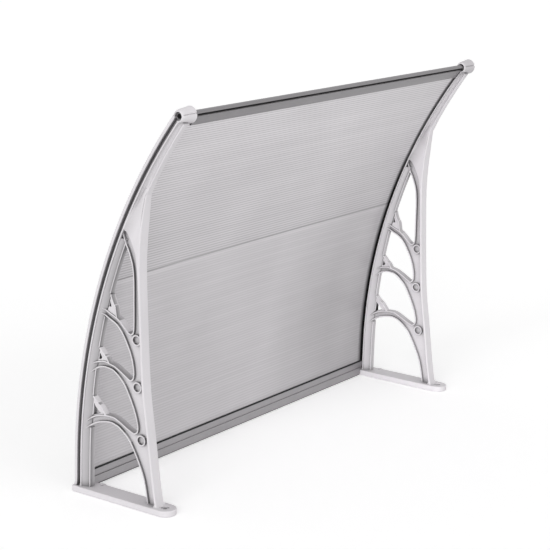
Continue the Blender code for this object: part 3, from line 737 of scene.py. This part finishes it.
def paint_shade(piece, start, amount):
    """Mark painted shade on a bracket: on the ground beside the slot, deeper by the rim, on the lattice's
    ledges, most by their near rim, and on the top of the wall plate.
    """
    mesh = piece.data
    values = [0.0] * len(mesh.loops)
    for face in mesh.polygons:
        up = face.center.z
        out = MIDDLE_OUT - face.center.y
        facing = max(-face.normal.y, face.normal.z)
        inside = rim_out(up) - 0.004 < out < strut_out(up) - 0.006 and PLATE_THICK + 0.001 < up < 0.5
        across = face.center.x + MIDDLE_X - start
        ground = BEAM_FILL_SLOT_SIDE < across < BEAM_FILL_RIM_SIDE and -0.985 < face.normal.x < -0.5
        ground = ground and out < rim_out(up) - 0.001 and PLATE_THICK < up < BEAM_FILL_TOP
        top = face.normal.z > 0.9 and PLATE_THICK - 0.001 < up < PLATE_THICK + 0.0005
        for index in face.loop_indices:
            corner = mesh.vertices[mesh.loops[index].vertex_index].co
            x = corner.x + MIDDLE_X - start
            if ground:
                depth = soft_step(x, BEAM_FILL_SLOT_SIDE, BEAM_FILL_RIM_SIDE)
                values[index] = amount * (GROUND_SHADE + GROUND_SHADE_RISE * depth)
            elif inside and facing > 0.8:
                values[index] = amount * (1.0 - LEDGE_SHADE_FALL * soft_step(x, 0.0045, 0.0150))
            elif top:
                values[index] = PLATE_TOP_SHADE
    # The painted shade is stored on the face corners for the plastic's colour.
    mesh.attributes.new("painted_shade", "FLOAT", "CORNER").data.foreach_set("value", values)


def crease_along(x):
    """Length along the sheet of its crease, at a place along X."""
    for low, high in zip(CREASE, CREASE[1:]):
        if x <= high[0]:
            return low[1] + (high[1] - low[1]) * (x - low[0]) / (high[0] - low[0])
    return CREASE[-1][1]


def sheet_place(point):
    """(along, offset) of a point of the sheet: its length along the middle line and distance from it."""
    out = MIDDLE_OUT - point[1]
    if point[2] <= SHEET_STRAIGHT:
        return point[2], out - SHEET_OUT
    reach = SHEET_OUT + SHEET_RADIUS - out
    rise = point[2] - SHEET_STRAIGHT
    return SHEET_STRAIGHT + SHEET_RADIUS * math.atan2(rise, reach), SHEET_RADIUS - math.hypot(reach, rise)


def creased(point):
    """The point, moved with the fold that crosses the sheet's hollow side."""
    along, offset = sheet_place(point)
    if offset < SHEET_HALF - 2 * SHEET_SAG:
        return point
    past = along - crease_along(point[0])
    ridge = FOLD_HEIGHT * math.exp(-(((past + FOLD_BEFORE) / FOLD_SPREAD) ** 2))
    height = ridge - FOLD_LINE_DEPTH * math.exp(-((past / FOLD_LINE_SPREAD) ** 2))
    out, up = sheet_point(along, offset + height)
    return (point[0], MIDDLE_OUT - out, up)


def sheet():
    """Twin-wall sheet: flutes inside, skins that sink a little between the ribs, and one crease."""
    start = SHEET_FOOT
    end = COLLAR_ALONG - BEAD_RADIUS - LIP_THICK - FIT
    count = round((end - start) / FLUTE_PITCH)
    pitch = (end - start) / count
    stops = [start + pitch * index for index in range(count + 1)]
    front = []
    back = []
    for index in range(count):
        for share in (0.0, 0.08, 0.3, 0.5, 0.7, 0.92):
            along = start + pitch * (index + share)
            sunk = SHEET_HALF - SHEET_SAG * math.sin(math.pi * share) ** 0.7
            front.append(sheet_point(along, sunk))
            back.append(sheet_point(along, -sunk))
    front.append(sheet_point(end, SHEET_HALF))
    back.append(sheet_point(end, -SHEET_HALF))
    inner = SHEET_HALF - SHEET_SKIN
    flutes = []
    for low, high in zip(stops, stops[1:]):
        first = low + SHEET_RIB / 2 if low > start else low + SHEET_RIB
        last = high - SHEET_RIB / 2 if high < end else high - SHEET_RIB
        corners = ((first, inner), (last, inner), (last, -inner), (first, -inner))
        flutes.append([sheet_point(along, offset) for along, offset in corners])
    near_end = WEB_HIGH + FIT
    far_end = BRACKET_PITCH + WEB_LOW - FIT
    shells = Shells()
    shells.prism([front + back[::-1], *flutes], near_end, far_end, 0.0, stations=SHEET_STATIONS)
    shells.points = [creased(point) for point in shells.points]
    made = shells.object("twin_wall_sheet")
    places = [sheet_place(vertex.co) for vertex in made.data.vertices]
    measures = {
        "flute": [(along - start) / pitch for along, offset in places],
        "past_crease": [
            along - crease_along(vertex.co.x) for (along, offset), vertex in zip(places, made.data.vertices)
        ],
    }
    for label, values in measures.items():
        made.data.attributes.new(label, "FLOAT", "POINT").data.foreach_set("value", values)
    return made


def front_bar():
    """Extruded bar: a bead with a slot along it, and two lips with feet that close on the sheet."""
    centre = sheet_point(COLLAR_ALONG)
    ahead = math.cos(COLLAR_ANGLE)
    aside = math.sin(COLLAR_ANGLE)

    def point(along, offset):
        return (centre[0] + along * aside + offset * ahead, centre[1] + along * ahead - offset * aside)

    sweep = 2 * math.pi - (BEAD_SLOT_TO - BEAD_SLOT_FROM)
    turns = [BEAD_SLOT_TO + sweep * step / 72 for step in range(73)]
    inner = BEAD_RADIUS - BEAD_WALL
    bead = [point(BEAD_RADIUS * math.cos(a), BEAD_RADIUS * math.sin(a)) for a in turns]
    bead += [point(inner * math.cos(a), inner * math.sin(a)) for a in reversed(turns)]
    lip_in = BEAD_RADIUS - LIP_THICK
    foot_in = SHEET_HALF + FIT
    lip_end = BRACKET_PITCH - LIP_END_GAP
    shells = Shells()
    shells.prism([bead], BEAD_INSET, BRACKET_PITCH + BEAD_END, 0.00025)
    for side in (1, -1):
        lip = [
            point(-LIP_ROOT, side * BEAD_RADIUS),
            point(-LIP_LENGTH + 0.0005, side * BEAD_RADIUS),
            point(-LIP_LENGTH + 0.00015, side * (BEAD_RADIUS - 0.00015)),
            point(-LIP_LENGTH, side * (BEAD_RADIUS - 0.0005)),
            point(-LIP_LENGTH, side * foot_in),
            point(-LIP_LENGTH + LIP_FOOT, side * foot_in),
            point(-LIP_LENGTH + LIP_FOOT, side * lip_in),
            point(-LIP_ROOT, side * lip_in),
        ]
        shells.prism([lip], LIP_START, lip_end, 0.0002)
    low = -BEAD_RADIUS - LIP_THICK
    high = -BEAD_RADIUS + BEAD_WALL / 2
    half = lip_in + LIP_THICK / 2
    stop = [point(low, half), point(low, -half), point(high, -half), point(high, half)]
    shells.prism([stop], LIP_START + FIT, lip_end - FIT, 0.0)
    return shells


def rear_bar_faces():
    """(back face, channel's back, channel's front, front face) of the rear bar, as distances out."""
    front_in = SHEET_OUT + SHEET_HALF + 2 * FIT + SEAL_TONGUE
    back_in = SHEET_OUT - SHEET_HALF - 2 * FIT
    return back_in - REAR_WALL, back_in, front_in, front_in + REAR_WALL


def eased(loop, radius):
    """The loop with each corner replaced by a short arc of three points."""
    points = []
    for index, here in enumerate(loop):
        before = loop[index - 1]
        after = loop[(index + 1) % len(loop)]
        from_before = min(radius, math.dist(before, here) / 3)
        from_after = min(radius, math.dist(here, after) / 3)
        start = [here[k] + (before[k] - here[k]) * from_before / math.dist(before, here) for k in (0, 1)]
        end = [here[k] + (after[k] - here[k]) * from_after / math.dist(here, after) for k in (0, 1)]
        middle = [(start[k] + 2 * here[k] + end[k]) / 4 for k in (0, 1)]
        points += [tuple(start), tuple(middle), tuple(end)]
    return points


def rear_bar():
    """Extruded bar: a hollow box on the wall side, and a channel over it that takes the sheet's foot."""
    back, back_in, front_in, front = rear_bar_faces()
    floor = SHEET_FOOT - FIT
    groove_low = REAR_GROOVE_UP - REAR_GROOVE_WIDTH / 2
    groove_high = REAR_GROOVE_UP + REAR_GROOVE_WIDTH / 2
    outline = [
        (back, 0.0),
        (front - REAR_CHAMFER_OUT, 0.0),
        (front, REAR_CHAMFER_UP),
        (front, groove_low),
        (front - REAR_GROOVE_DEPTH, groove_low),
        (front - REAR_GROOVE_DEPTH, groove_high),
        (front, groove_high),
        (front, REAR_BAR_TOP),
        (front_in, REAR_BAR_TOP),
        (front_in, floor),
        (back_in, floor),
        (back_in, REAR_BAR_TOP),
        (back, REAR_BAR_TOP),
    ]
    hollow = [
        (back + REAR_WALL, REAR_WALL),
        (front - REAR_CHAMFER_OUT - REAR_WALL, REAR_WALL),
        (front - REAR_WALL, REAR_CHAMFER_UP + REAR_WALL / 4),
        (front - REAR_WALL, floor - REAR_WALL),
        (back + REAR_WALL, floor - REAR_WALL),
    ]
    start = BEAM_WIDTH + REAR_BAR_END_GAP
    end = BRACKET_PITCH - REAR_BAR_END_GAP
    shells = Shells()
    shells.prism([eased(outline, 0.0004), hollow], start, end, 0.0)
    bar = shells.object("rear_bar_profile")
    plate_side = BEAM_MIDDLE + PLATE_WIDTH / 2 + REAR_NOTCH_GAP
    notch_top = PLATE_THICK + REAR_NOTCH_GAP
    notch = [(-front, -notch_top), (2 * front, -notch_top), (2 * front, notch_top), (-front, notch_top)]
    far_plate_side = BRACKET_PITCH + BEAM_MIDDLE - PLATE_WIDTH / 2 - REAR_NOTCH_GAP
    spans = ((start - plate_side, plate_side), (far_plate_side, end + plate_side))
    cutters = [solid("prism", [notch], low, high, 0.0) for low, high in spans]
    return combined(bar, cutters, "DIFFERENCE")


def rear_seal():
    """Rubber strip with a tongue in the channel in front of the sheet, and a head over the channel."""
    front = rear_bar_faces()[3]
    inner = SHEET_OUT + SHEET_HALF + FIT
    head_low = REAR_BAR_TOP + FIT
    outline = [
        (inner, REAR_BAR_TOP - SEAL_DEPTH),
        (inner + SEAL_TONGUE, REAR_BAR_TOP - SEAL_DEPTH),
        (inner + SEAL_TONGUE, head_low),
        (front, head_low),
        (front, head_low + SEAL_HEAD * 0.55),
        (front - SEAL_HEAD / 3, head_low + SEAL_HEAD),
        (inner, head_low + SEAL_HEAD),
    ]
    start = BEAM_WIDTH + REAR_BAR_END_GAP
    shells = Shells()
    shells.prism([eased(outline, 0.0003)], start, BRACKET_PITCH - REAR_BAR_END_GAP, 0.0)
    return shells


class Nodes:
    """Short calls for building the node tree of a new material or world."""

    def __init__(self, owner, shader="Principled BSDF"):
        owner.use_nodes = True
        self.owner = owner
        self.tree = owner.node_tree
        self.shader = self.tree.nodes[shader]

    def add(self, kind, **settings):
        node = self.tree.nodes.new("ShaderNode" + kind)
        for key, value in settings.items():
            setattr(node, key, value)
        return node

    def join(self, source, target):
        self.tree.links.new(source, target)

    def feed(self, name, source):
        """Lead a value that varies into one of the shader's inputs."""
        self.join(source, self.shader.inputs[name])

    def place(self, scale=(1, 1, 1)):
        """The place on the object, stretched by scale."""
        coordinates = self.add("TexCoord")
        mapping = self.add("Mapping")
        mapping.inputs["Scale"].default_value = scale
        self.join(coordinates.outputs["Object"], mapping.inputs["Vector"])
        return mapping.outputs["Vector"]

    def parts(self, vector):
        """The X, Y and Z of a vector."""
        node = self.add("SeparateXYZ")
        self.join(vector, node.inputs["Vector"])
        return node.outputs

    def stored(self, name):
        return self.add("Attribute", attribute_name=name, attribute_type="GEOMETRY").outputs["Fac"]

    def noise(self, scale, detail=3.0, roughness=0.55, stretch=(1, 1, 1)):
        node = self.add("TexNoise")
        node.inputs["Scale"].default_value = scale
        node.inputs["Detail"].default_value = detail
        node.inputs["Roughness"].default_value = roughness
        self.join(self.place(stretch), node.inputs["Vector"])
        return node.outputs["Fac"]

    def ranged(self, value, low, high, to_low, to_high):
        node = self.add("MapRange")
        for key, number in (("From Min", low), ("From Max", high), ("To Min", to_low), ("To Max", to_high)):
            node.inputs[key].default_value = number
        self.join(value, node.inputs["Value"])
        return node.outputs["Result"]

    def varied(self, to_low, to_high, *noise):
        """Noise spread between two values."""
        return self.ranged(self.noise(*noise), 0.3, 0.7, to_low, to_high)

    def openness(self, distance, **settings):
        """How open the surface is within a distance, from 0 in a hollow to 1."""
        node = self.add("AmbientOcclusion", samples=8, **settings)
        node.inputs["Distance"].default_value = distance
        return node.outputs["AO"]

    def math(self, operation, first, second=0.0):
        node = self.add("Math", operation=operation)
        for index, value in enumerate((first, second)):
            if isinstance(value, (int, float)):
                node.inputs[index].default_value = value
            else:
                self.join(value, node.inputs[index])
        return node.outputs[0]

    def times(self, first, *others):
        for other in others:
            first = self.math("MULTIPLY", first, other)
        return first

    def less(self, value):
        """One less the value."""
        return self.math("SUBTRACT", 1.0, value)

    def apart(self, value, other):
        """How far a value is from another."""
        return self.math("ABSOLUTE", self.math("SUBTRACT", value, other))

    def tinted(self, colour, factor):
        """The colour times a factor that varies over the surface."""
        node = self.add("VectorMath", operation="SCALE")
        node.inputs[0].default_value = colour
        self.join(factor, node.inputs["Scale"])
        return node.outputs[0]

    def bump(self, height, distance, strength=1.0, normal=None):
        node = self.add("Bump")
        node.inputs["Distance"].default_value = distance
        node.inputs["Strength"].default_value = strength
        self.join(height, node.inputs["Height"])
        if normal:
            self.join(normal, node.inputs["Normal"])
        return node.outputs["Normal"]

    def seen(self):
        """One for what the camera, a reflection or a clear piece shows, and otherwise zero."""
        path = self.add("LightPath").outputs
        direct = self.math("MAXIMUM", path["Is Camera Ray"], path["Is Glossy Ray"])
        return self.math("MAXIMUM", direct, path["Is Transmission Ray"])


def plastic_material():
    """White plastic with painted shade in its hollows, on its ledges and on the heads; the right bracket's
    faces towards -X have painted light, and its collar painted shade.
    """
    nodes = Nodes(bpy.data.materials.new("moulded_white_plastic"))
    here = nodes.parts(nodes.place())
    facing = nodes.parts(nodes.add("NewGeometry").outputs["Normal"])
    # Painted light on the right bracket's faces towards -X, and painted shade on the right bracket's collar.
    near = nodes.ranged(facing["X"], -0.8, -0.2, 1.0, 0.0)
    right = nodes.ranged(here["X"], 0.40, 0.46, 0.0, 1.0)
    right_painted_light = nodes.times(right, near, 0.22)
    collar_painted_shade = nodes.times(right, nodes.ranged(here["Z"], 0.700, 0.712, 0.0, 0.24))
    from_centre = nodes.add("VectorMath", operation="MULTIPLY_ADD")
    nodes.join(nodes.place(), from_centre.inputs[0])
    from_centre.inputs[1].default_value = (0, 1, 1)
    from_centre.inputs[2].default_value = (0, SHEET_OUT + SHEET_RADIUS - MIDDLE_OUT, -SHEET_STRAIGHT)
    reach = nodes.add("VectorMath", operation="LENGTH")
    nodes.join(from_centre.outputs[0], reach.inputs[0])
    offset = nodes.math("SUBTRACT", SHEET_RADIUS, reach.outputs["Value"])
    head_shade = nodes.times(
        near,
        nodes.ranged(offset, 0.0064, 0.0076, 0.0, 1.0),
        nodes.ranged(offset, 0.008, 0.032, 0.25, 0.0),
        nodes.ranged(here["Z"], 0.485, 0.512, 0.0, 1.0),
        nodes.ranged(here["Z"], 0.520, 0.575, 1.0, 0.0),
    )
    factor = nodes.times(
        nodes.varied(0.975, 1.02, 9.0, 2.0),
        nodes.varied(0.985, 1.01, 420.0, 3.0),
        # Painted shade in small hollows and on faces that look into the lattice.
        nodes.ranged(nodes.openness(0.016, only_local=True), 0.12, 0.80, 0.24, 1.0),
        nodes.ranged(nodes.openness(0.090, only_local=True), 0.40, 0.92, 0.78, 1.0),
        # Painted shade marked on the brackets' face corners.
        nodes.less(nodes.times(nodes.stored("painted_shade"), 0.74)),
        # Painted light on the right bracket's faces, less the painted shade on its collar.
        nodes.math("SUBTRACT", nodes.math("ADD", right_painted_light, 1.0), collar_painted_shade),
        nodes.less(head_shade),
    )
    nodes.feed("Base Color", nodes.tinted((0.765, 0.740, 0.765), factor))
    nodes.feed("Roughness", nodes.varied(0.34, 0.48, 55.0, 4.0))
    soft = nodes.add("Bevel", samples=6)
    soft.inputs["Radius"].default_value = 0.0009
    grain = nodes.math("ADD", nodes.noise(3200.0, 2.0), nodes.times(nodes.noise(160.0, 2.0), 1.6))
    nodes.feed("Normal", nodes.bump(grain, 0.00006, 0.5, soft.outputs["Normal"]))
    nodes.shader.inputs["Specular IOR Level"].default_value = 0.45
    return nodes.owner


def aluminium_material(name, level, slot_light, reach, left_shade_gain):
    """Anodised metal of a grey level. Its hollows, of a size up to reach, carry painted shade, deepest at
    the -X end and easing towards +X.
    """
    nodes = Nodes(bpy.data.materials.new(name))
    here = nodes.parts(nodes.place())["X"]
    lines = nodes.noise(1.0, 4.0, 0.7, (3.0, 2600.0, 2600.0))
    # Painted shade in the hollows, deepened towards the -X end and eased towards +X.
    shade = nodes.ranged(nodes.openness(reach), 0.25, 0.82, 0.12, 1.0)
    shade = nodes.math("MAXIMUM", shade, nodes.ranged(here, -0.10, 0.36, 0.0, slot_light))
    depth = nodes.times(nodes.less(shade), nodes.ranged(here, -0.46, -0.2, left_shade_gain, 1.0))
    factor = nodes.times(
        nodes.ranged(lines, 0.25, 0.75, 0.90, 1.07),
        nodes.varied(0.97, 1.03, 14.0, 2.0),
        nodes.math("MAXIMUM", nodes.less(depth), 0.08),
    )
    nodes.feed("Base Color", nodes.tinted((level, level * 0.966, level), factor))
    nodes.feed("Roughness", nodes.ranged(lines, 0.3, 0.7, 0.30, 0.44))
    nodes.feed("Normal", nodes.bump(lines, 0.00004, 0.5))
    nodes.shader.inputs["Metallic"].default_value = 0.80
    nodes.shader.inputs["Anisotropic"].default_value = 0.35
    return nodes.owner


def rubber_material():
    nodes = Nodes(bpy.data.materials.new("black_rubber"))
    fine = nodes.noise(900.0, 4.0)
    nodes.feed("Base Color", nodes.tinted((0.018, 0.018, 0.019), nodes.ranged(fine, 0.3, 0.7, 0.7, 1.4)))
    nodes.feed("Roughness", nodes.ranged(fine, 0.3, 0.7, 0.55, 0.8))
    nodes.feed("Normal", nodes.bump(fine, 0.00008, 0.6))
    nodes.shader.inputs["Specular IOR Level"].default_value = 0.3
    return nodes.owner


def sheet_material():
    """Hazy clear sheet, with a tone for each flute and dark ribs; painted shade along the crease, at both
    ends and on the lower right part, a painted highlight below the crease, and painted light rising to the
    top.
    """
    nodes = Nodes(bpy.data.materials.new("twin_wall_polycarbonate"))
    flute = nodes.stored("flute")
    past = nodes.stored("past_crease")
    here = nodes.parts(nodes.place())["X"]
    rib_place = nodes.apart(nodes.math("FRACT", flute), 0.5)
    rib_depth = nodes.ranged(past, -0.006, 0.002, 0.12, 0.30)
    rib = nodes.less(nodes.times(nodes.ranged(rib_place, 0.20, 0.44, 0.0, 1.0), rib_depth))
    steps = nodes.add("TexWhiteNoise", noise_dimensions="1D")
    nodes.join(nodes.math("FLOOR", flute), steps.inputs["W"])
    # Painted light: the sheet lighter from its foot towards its top.
    height_painted_light = nodes.ranged(flute, 0.0, 70.0, 0.77, 0.865)
    # Painted shade on the right part of the sheet, strongest low down.
    painted_shade_right = nodes.ranged(here, 0.08, 0.32, 0.0, 0.21)
    painted_shade_low = nodes.ranged(flute, 33.0, 78.0, 1.0, 0.30)
    # Painted shade along both ends of the sheet, beside the brackets.
    from_right = nodes.math("SUBTRACT", 0.472, here)
    edge_width = nodes.ranged(flute, 62.0, 96.0, 0.017, 0.011)
    edge = nodes.ranged(nodes.math("DIVIDE", from_right, edge_width), 0.14, 1.0, 0.02, 1.0)
    edge = nodes.math("MAXIMUM", edge, nodes.ranged(flute, 76.0, 90.0, 0.0, 0.13))
    edge = nodes.times(edge, nodes.ranged(here, -0.490, -0.474, 0.40, 1.0))
    factor = nodes.times(
        rib,
        nodes.ranged(steps.outputs["Value"], 0.0, 1.0, 0.965, 1.02),
        nodes.varied(0.97, 1.02, 1.0, 3.0, 0.6, (5.0, 420.0, 420.0)),
        nodes.varied(0.95, 1.03, 4.5, 2.0),
        # Painted shade along the crease, and a painted highlight in a band just below it.
        nodes.ranged(nodes.apart(past, 0.0), 0.0005, 0.0026, 0.58, 1.0),
        nodes.ranged(nodes.apart(past, -0.0062), 0.0026, 0.0060, 1.10, 1.0),
        nodes.math("ADD", height_painted_light, nodes.ranged(flute, 70.0, 120.0, 0.0, 0.175)),
        edge,
        nodes.less(nodes.times(painted_shade_right, painted_shade_low)),
    )
    nodes.feed("Base Color", nodes.tinted((0.80, 0.775, 0.80), factor))
    # Less specular where the painted shade lies along the ends.
    nodes.feed("Specular IOR Level", nodes.ranged(edge, 0.1, 0.7, 0.0, 0.5))
    nodes.feed("Roughness", nodes.varied(0.30, 0.42, 60.0, 3.0))
    crumple = nodes.times(
        nodes.noise(90.0, 3.0, 0.7, (1, 1, 0.5)),
        nodes.ranged(nodes.apart(past, -0.02), 0.01, 0.05, 1.0, 0.0),
        nodes.ranged(here, 0.36, 0.42, 0.0, 1.0),
    )
    ripple = nodes.math("ADD", nodes.noise(22.0, 2.0, 0.5, (0.5, 1, 1)), nodes.times(rib, 0.4))
    ripple = nodes.math("ADD", ripple, nodes.times(crumple, 3.0))
    nodes.feed("Normal", nodes.bump(ripple, 0.0006, 0.35))
    return nodes.owner


def settle(piece, material, node, merge=True):
    """Smooth the piece, give it its material, hide the node it replaces, and attach it to the root."""
    if merge:
        work = bmesh.new()
        work.from_mesh(piece.data)
        bmesh.ops.dissolve_limit(
            work, angle_limit=math.radians(0.05), verts=work.verts, edges=work.edges, delimit=set()
        )
        work.to_mesh(piece.data)
        work.free()
    piece.data.shade_smooth()
    piece.data.set_sharp_from_angle(angle=math.radians(35))
    piece.data.materials.clear()
    piece.data.materials.append(material)
    weights = piece.modifiers.new("weights", "WEIGHTED_NORMAL")
    weights.keep_sharp = True
    weights.weight = 80
    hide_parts(node)
    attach(piece, "root")


def make_floor():
    mesh = bpy.data.meshes.new("floor")
    work = bmesh.new()
    bmesh.ops.create_circle(work, cap_ends=True, segments=96, radius=30.0)
    work.to_mesh(mesh)
    work.free()
    floor = linked("floor", mesh)
    floor.location.z = -0.0002
    nodes = Nodes(bpy.data.materials.new("pale_floor"))
    nodes.feed("Base Color", nodes.tinted((0.88, 0.88, 0.88), nodes.varied(0.985, 1.0, 40.0, 3.0)))
    nodes.shader.inputs["Roughness"].default_value = 0.9
    nodes.shader.inputs["Specular IOR Level"].default_value = 0.1
    nodes.shader.inputs["Emission Color"].default_value = (1, 1, 1, 1)
    nodes.feed("Emission Strength", nodes.times(nodes.seen(), 0.34))
    mesh.materials.append(nodes.owner)


def make_world():
    world = bpy.data.worlds.new("studio")
    bpy.context.scene.world = world
    nodes = Nodes(world, "Background")
    nodes.shader.inputs["Color"].default_value = (1, 1, 1, 1)
    nodes.feed("Strength", nodes.ranged(nodes.seen(), 0.0, 1.0, 0.56, 1.0))


def make_lamps():
    for name, energy, angle, direction in (
        ("key", 1.30, 40, (-0.85, -0.22, 0.36)),
        ("fill", 0.60, 60, (0.1, -1.0, 0.25)),
    ):
        lamp = bpy.data.lights.new(name, "SUN")
        lamp.energy = energy
        lamp.angle = math.radians(angle)
        holder = linked(name, lamp)
        holder.rotation_euler = Vector(direction).to_track_quat("Z", "Y").to_euler()


def make_camera():
    data = bpy.data.cameras.new("camera")
    data.lens = 116.3095
    data.sensor_width = 36
    data.clip_end = 100
    camera = linked("camera", data)
    right = (0.5725351992785825, -0.8192698245943482, 0.031629102045105384)
    up = (0.17761289318428025, 0.16159916578395972, 0.9707416596564905)
    back = (-0.8004105857381842, -0.5501660332363988, 0.238034094430152)
    eye = (-2.867098651529241, -1.9403597856285821, 1.1869110048045395)
    rows = [(*row, place) for row, place in zip(zip(right, up, back), eye)]
    camera.matrix_world = Matrix([*rows, (0, 0, 0, 1)])
    bpy.context.scene.camera = camera


make_camera()
make_world()
make_lamps()
make_floor()
bpy.context.scene.view_settings.view_transform = "Standard"

plastic = plastic_material()
left = bracket("left_bracket_moulding")
right = linked("right_bracket_moulding", left.data.copy())
right.data.transform(Matrix.Translation((BRACKET_PITCH, 0, 0)))
settle(left, plastic, "left_bracket")
settle(right, plastic, "right_bracket")
# Painted shade on both brackets, stronger on the left one than on the right.
paint_shade(left, 0.0, 0.9)
paint_shade(right, BRACKET_PITCH, 0.35)
settle(sheet(), sheet_material(), "roof_sheet", merge=False)

# The two bars are one metal: the front bar's darker level is painted shade and the rear bar's lighter level
# painted light.
front_metal = aluminium_material("satin_aluminium_front", 0.25, 0.58, 0.008, 1.0)
rear_metal = aluminium_material("satin_aluminium_rear", 0.36, 0.0, 0.005, 2.2)
settle(front_bar().object("front_bar_profile"), front_metal, "front_bar")
settle(rear_bar(), rear_metal, "rear_bar")
settle(rear_seal().object("rear_seal_strip"), rubber_material(), "rear_seal")
